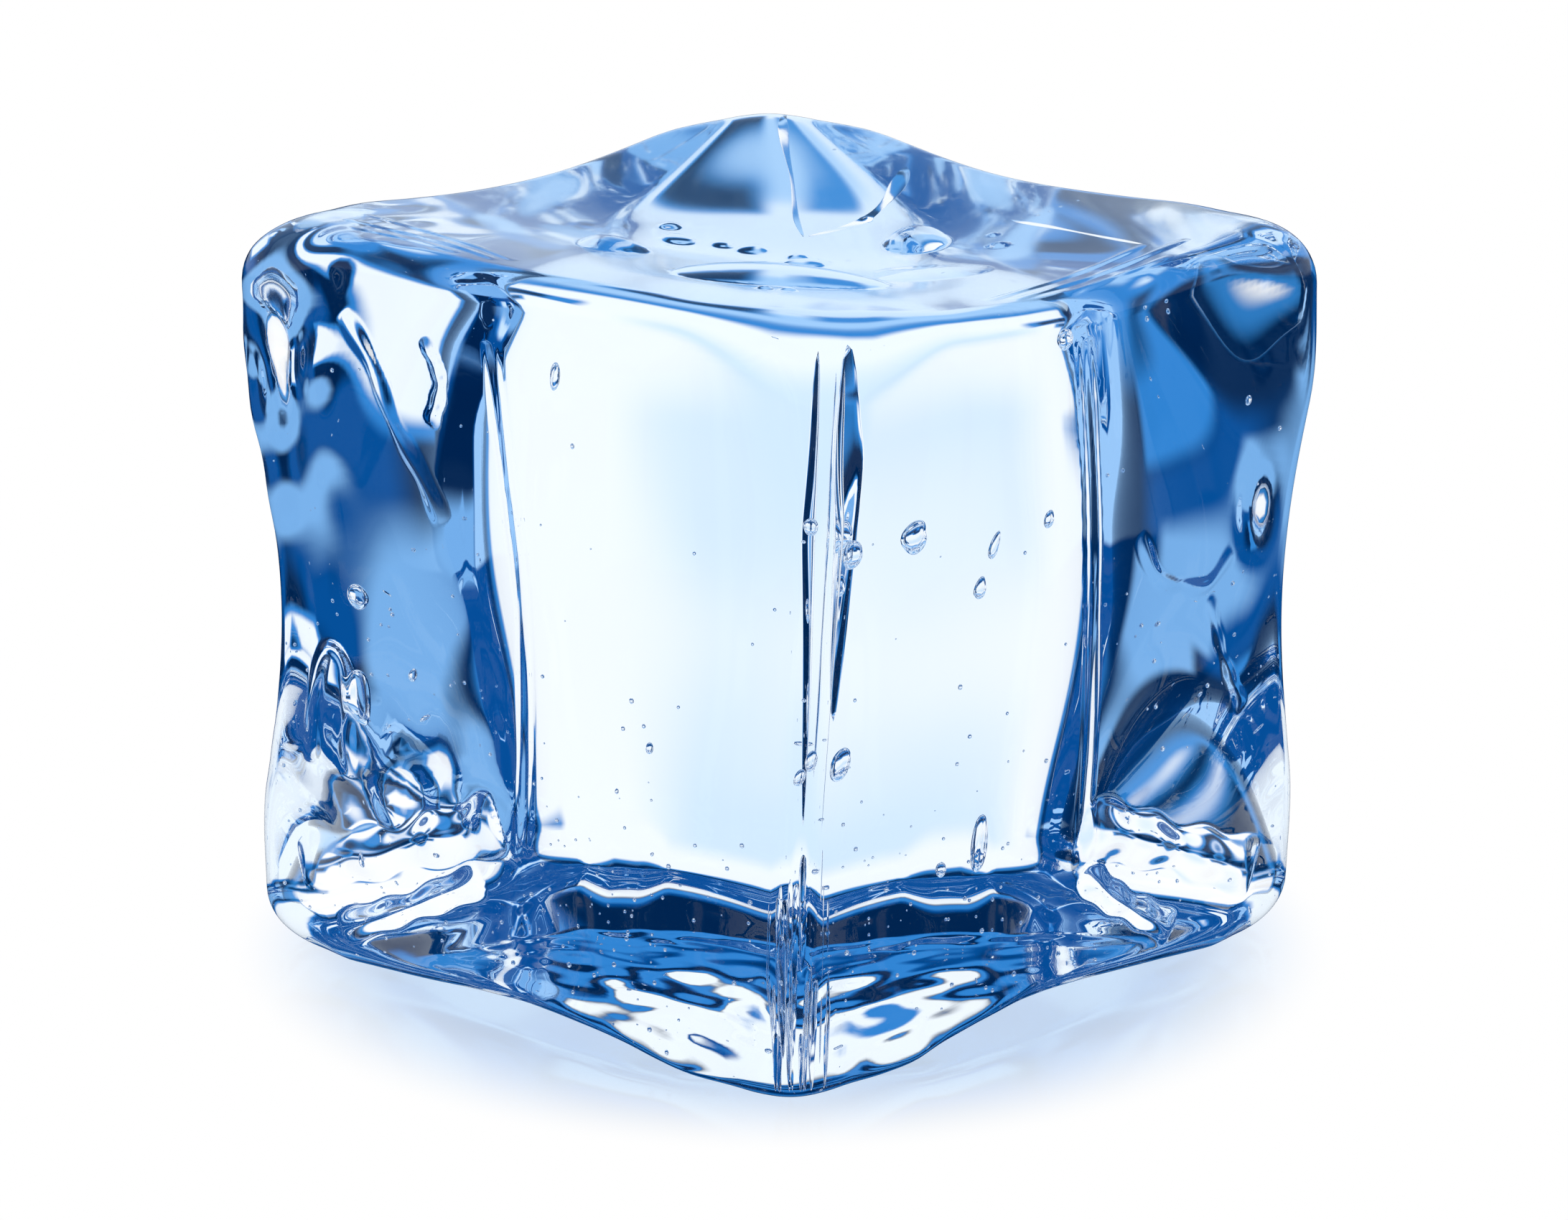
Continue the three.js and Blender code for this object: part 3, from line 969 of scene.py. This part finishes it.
def film(spine, wide, thin):
    """A closed flat tube along a spine. wide and thin are its half axes at each place."""
    # Full along most of its length, rounded off at both ends and thinner towards the last one.
    t = np.linspace(0, 1, len(spine))
    full = np.clip(1 - np.abs(2 * t - 1) ** 5, 0, 1) ** 0.5 * (1 - 0.5 * t ** 2)
    full[[0, -1]] = TIP_FULLNESS
    around = 2 * np.pi * np.arange(FILM_SIDES) / FILM_SIDES
    cosine = np.sign(np.cos(around)) * np.abs(np.cos(around)) ** 0.7
    ring = cosine[:, None] * wide[:, None, :] + np.sin(around)[:, None] * thin[:, None, :]
    points = (spine[:, None, :] + full[:, None, None] * ring).reshape(-1, 3)
    here = np.arange(FILM_SIDES)
    steps = FILM_SIDES * np.arange(len(spine) - 1)[:, None]
    a, b = steps + here, steps + (here + 1) % FILM_SIDES
    faces = np.stack([a, b, b + FILM_SIDES, a + FILM_SIDES], axis=-1).reshape(-1, 4).tolist()
    last = FILM_SIDES * (len(spine) - 1)
    faces.append(tuple(here[::-1]))
    faces.append(tuple(last + here))
    if np.cross(wide[0], thin[0]) @ (spine[-1] - spine[0]) < 0:
        faces = [tuple(face[::-1]) for face in faces]
    return points, faces


def sliver(right, behind, heights, half_width, half_thickness, turn):
    """A film along the near edge, between two heights."""
    t = np.linspace(0, 1, FILM_STEPS)[:, None]
    start, end = edge_points(heights)
    spine = start + t * (end - start) + VIEWERS_FORWARD * behind
    spine = spine + VIEWERS_RIGHT * (right[0] + t * (right[1] - right[0]))
    angle = np.radians(turn[0] + t * (turn[1] - turn[0]))
    wide = np.cos(angle) * VIEWERS_FORWARD + np.sin(angle) * VIEWERS_RIGHT
    return film(spine, wide * half_width, np.cross(wide, UP) * half_thickness)


def low_slivers():
    """Short ones, crowded towards the foot of the edge."""
    random = np.random.default_rng(LOW_SEED)
    for _ in range(LOW_SLIVERS):
        right, behind = random.uniform(*LOW_RIGHT), random.uniform(*LOW_BEHIND)
        top = LOW_TOP + LOW_TOP_RANGE * random.uniform() ** 1.5
        bottom = max(top - random.uniform(*LOW_LENGTH), LOWEST)
        half_width = random.uniform(*LOW_HALF_WIDTH)
        turn = random.choice(LOW_TURNS) + random.uniform(*LOW_TURN_SPREAD)
        yield (right, right), behind, (top, bottom), half_width, LOW_HALF_THICKNESS, (turn, turn)


slivers = air_object("air_slivers", [sliver(*sizes) for sizes in SLIVERS + list(low_slivers())])

# %% [markdown]
# Three thin cracks run under the top. A crack is a film of air too, along a smooth line that
# stays at one depth. Each leans over from the upright just enough to mirror a white sheet, so
# it shows as a white streak in blue ice. A raised welt on the top would bend light and be pale
# on one side and dark on the other.

# %% Cracks under the top
CRACKS = [
    # places in plan, half width, depth of its middle, half thickness, lean from the upright
    ([(-14.6, 15.8), (-11.6, 12.6), (-8.0, 9.3), (-4.6, 5.9), (-2.6, 4.2)], 0.75, 1.2, 0.006, 24),
    ([(-2.4, 4.4), (-2.0, 7.4), (-2.9, 10.6), (-5.0, 14.0)], 1.1, 1.2, 0.006, -54),
    ([(4.2, 11.0), (8.4, 10.4), (13.2, 9.6)], 0.8, 1.2, 0.006, 56),
]
CRACK_SMOOTHING = 2  # neighbours on each side that even its depth out
CRACK_UNEVENNESS, CRACK_WAVES = 0.3, 9


def under_top(plan, depth):
    """Places at a depth under the top, from places in plan."""
    on_top = block[skin_normals[:, 2] > ON_TOP]
    nearest = [np.argmin(np.hypot(*(on_top[:, :2] - place).T)) for place in plan]
    return np.column_stack([plan, on_top[nearest, 2] - depth])


def crack(places, half_width, depth, half_thickness, lean):
    """A leaning film along a smooth line under the top."""
    plan = smooth_line(places)
    spine = under_top(plan, depth)
    window = 2 * CRACK_SMOOTHING + 1
    padded = np.pad(spine[:, 2], CRACK_SMOOTHING, mode="edge")
    spine[:, 2] = np.convolve(padded, np.ones(window) / window, mode="valid")
    along = spine[-1] - spine[0]
    along /= np.linalg.norm(along)
    side = np.cross(along, UP)
    side *= np.sign(side @ VIEWERS_RIGHT) / np.linalg.norm(side)
    upright = np.cross(side, along)
    upright *= np.sign(upright[2])
    angle = math.radians(lean)
    wide = math.cos(angle) * upright - math.sin(angle) * side
    waves = np.sin(np.linspace(0, CRACK_WAVES, len(spine)))[:, None]
    uneven = 1 - CRACK_UNEVENNESS + CRACK_UNEVENNESS * waves
    return film(spine, uneven * wide * half_width, uneven * np.cross(along, wide) * half_thickness)


cracks = air_object("air_cracks", [crack(*sizes) for sizes in CRACKS])

# %% [markdown]
# Specks of air are scattered under the skin, most of them low down, where the ice closed last.
# They repeat by the hundred and follow the skin, which is work for Geometry Nodes: the tree
# sets out points on the block's own mesh, pushes them in from it, puts a small ball of few
# faces on each, and makes the result plain. The seed keeps them where they are.

# %% Specks
SPECKS_PER_SQUARE_METRE, SPECKS_SEED = 90000.0, 5
SPECK_RADIUS = (0.00004, 0.00013)
SPECK_DEPTH = (0.0004, 0.0030)
CROWD_TOP = 0.030  # the crowd of specks thins out up to this height
EVERYWHERE = 0.06  # and this share of it is all over the skin
SPECK_STEPS, SPECK_FACES = 2, 80
SPECK_INPUTS = {"Geometry": "Geometry", "Density": "Float", "Seed": "Int", "Material": "Material"}


def random_size(tree, low, high, seed):
    node = add_node(tree, "FunctionNodeRandomValue", {"data_type": "FLOAT"}, Seed=seed)
    feed(tree, node, 2, low)
    feed(tree, node, 3, high)
    return node.outputs[1]


def speck_tree():
    tree = bpy.data.node_groups.new("specks", "GeometryNodeTree")
    for name, kind in SPECK_INPUTS.items():
        tree.interface.new_socket(name, in_out="INPUT", socket_type="NodeSocket" + kind)
    tree.interface.new_socket("Geometry", in_out="OUTPUT", socket_type="NodeSocketGeometry")
    given = tree.nodes.new("NodeGroupInput").outputs
    place = add_node(tree, "GeometryNodeInputPosition").outputs[0]
    height = add_node(tree, "ShaderNodeSeparateXYZ", Vector=place).outputs["Z"]
    crowd = calculate(tree, "POWER", soft_step(tree, height, CROWD_TOP, 0.0), 2.0)
    share = calculate(tree, "ADD", crowd, EVERYWHERE)
    density = calculate(tree, "MULTIPLY", share, given["Density"])
    scattered = add_node(tree, "GeometryNodeDistributePointsOnFaces", Mesh=given["Geometry"],
                         Density=density, Seed=given["Seed"])
    inwards = random_size(tree, -SPECK_DEPTH[1], -SPECK_DEPTH[0], 1)
    radius = random_size(tree, *SPECK_RADIUS, 2)
    move = add_node(tree, "ShaderNodeVectorMath", {"operation": "SCALE"},
                    Vector=scattered.outputs["Normal"], Scale=inwards)
    sunk = add_node(tree, "GeometryNodeSetPosition", Geometry=scattered.outputs["Points"],
                    Offset=move.outputs[0])
    speck = add_node(tree, "GeometryNodeMeshIcoSphere", Radius=1.0, Subdivisions=SPECK_STEPS)
    copies = add_node(tree, "GeometryNodeInstanceOnPoints", Points=sunk.outputs[0],
                      Instance=speck.outputs["Mesh"], Scale=radius)
    made = add_node(tree, "GeometryNodeRealizeInstances", Geometry=copies.outputs[0])
    finished = add_node(tree, "GeometryNodeSetMaterial", Geometry=made.outputs[0],
                        Material=given["Material"])
    tree.links.new(finished.outputs[0], tree.nodes.new("NodeGroupOutput").inputs[0])
    return tree


def grown(name, base, tree, **values):
    """A plain mesh of what a Geometry Nodes tree grows on a base mesh."""
    made = bpy.data.objects.new(name, base)
    bpy.context.scene.collection.objects.link(made)
    modifier = made.modifiers.new(tree.name, "NODES")
    modifier.node_group = tree
    for item in tree.interface.items_tree:
        if item.in_out == "INPUT" and item.name in values:
            modifier[item.identifier] = values[item.name]
    mesh = bpy.data.meshes.new_from_object(made.evaluated_get(bpy.context.evaluated_depsgraph_get()))
    made.modifiers.clear()
    made.data = mesh
    return made


specks = grown(
    "air_specks", ice.data.copy(), speck_tree(),
    Density=SPECKS_PER_SQUARE_METRE, Seed=SPECKS_SEED, Material=sealed_air,
)
specks.data.shade_smooth()
print("air_specks:", len(specks.data.polygons) // SPECK_FACES)

# %% [markdown]
# ## Joining the frame
# The fine skin stands for the frame's block, and the air rides in it. The cube has one body.

# %% Join the frame
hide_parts("ice_cube")
for piece in (ice, bubbles, slivers, cracks, specks):
    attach(piece, "root")
